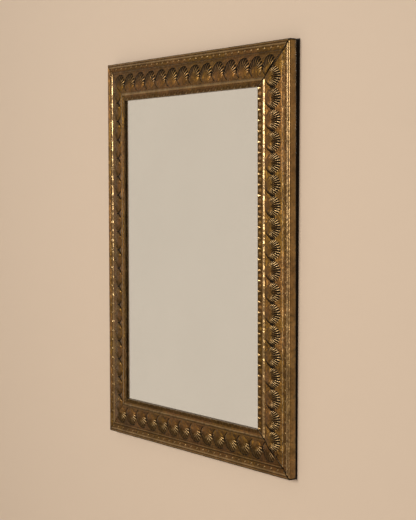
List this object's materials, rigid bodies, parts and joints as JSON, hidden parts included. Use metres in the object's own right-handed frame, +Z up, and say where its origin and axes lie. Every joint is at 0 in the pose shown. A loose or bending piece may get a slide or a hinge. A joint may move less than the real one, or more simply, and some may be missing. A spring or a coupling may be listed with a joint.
{
  "type": "wall mirror",
  "caption": "Rectangular wall mirror in a mitred wooden frame clad in aged embossed brass, with rows of scallop shells, a beaded sight edge and ring hangers on its back.",
  "frame": {"origin": "centre of the back panel's rear face, on the wall", "axes": "+X to the right seen from the front, +Y into the wall, +Z up"},
  "size_m": [0.7, 0.0307, 0.9],
  "materials": {
    "embossed_brass": "aged, embossed",
    "brass_pins": "dull",
    "frame_wood": "bare, sawn",
    "fillet_wood": "bare, planed",
    "panel_wood": "thin plywood, bare",
    "mirror_glass": "polished",
    "silvering": "silvered",
    "plain_steel": "zinc plated, dull"
  },
  "bodies": {
    "mirror": {"back_panel": "panel_wood", "cladding_bottom_rail": "embossed_brass", "cladding_left_stile": "embossed_brass", "cladding_pins": "brass_pins", "cladding_right_stile": "embossed_brass", "cladding_top_rail": "embossed_brass", "core_bottom_rail": "frame_wood", "core_left_stile": "frame_wood", "core_right_stile": "frame_wood", "core_top_rail": "frame_wood", "fillet_pins": "plain_steel", "glass_fillet_bottom_rail": "fillet_wood", "glass_fillet_left_stile": "fillet_wood", "glass_fillet_right_stile": "fillet_wood", "glass_fillet_top_rail": "fillet_wood", "hanger_screws": "plain_steel", "hanger_strap_left": "plain_steel", "hanger_strap_right": "plain_steel", "mirror_glass": "mirror_glass", "mitre_keys": "fillet_wood", "panel_screws": "plain_steel", "silvering": "silvering"},
    "ring_left": {"hanger_ring_left": "plain_steel"},
    "ring_right": {"hanger_ring_right": "plain_steel"}
  },
  "joints": [
    {"name": "ring_left_swing", "type": "hinge", "parent": "mirror", "child": "ring_left", "pos_m": [-0.312, -0.00205, 0.24], "axis": [-1, 0, 0], "range_deg": [0, 165]},
    {"name": "ring_right_swing", "type": "hinge", "parent": "mirror", "child": "ring_right", "pos_m": [0.312, -0.00205, 0.24], "axis": [-1, 0, 0], "range_deg": [0, 165]}
  ]
}
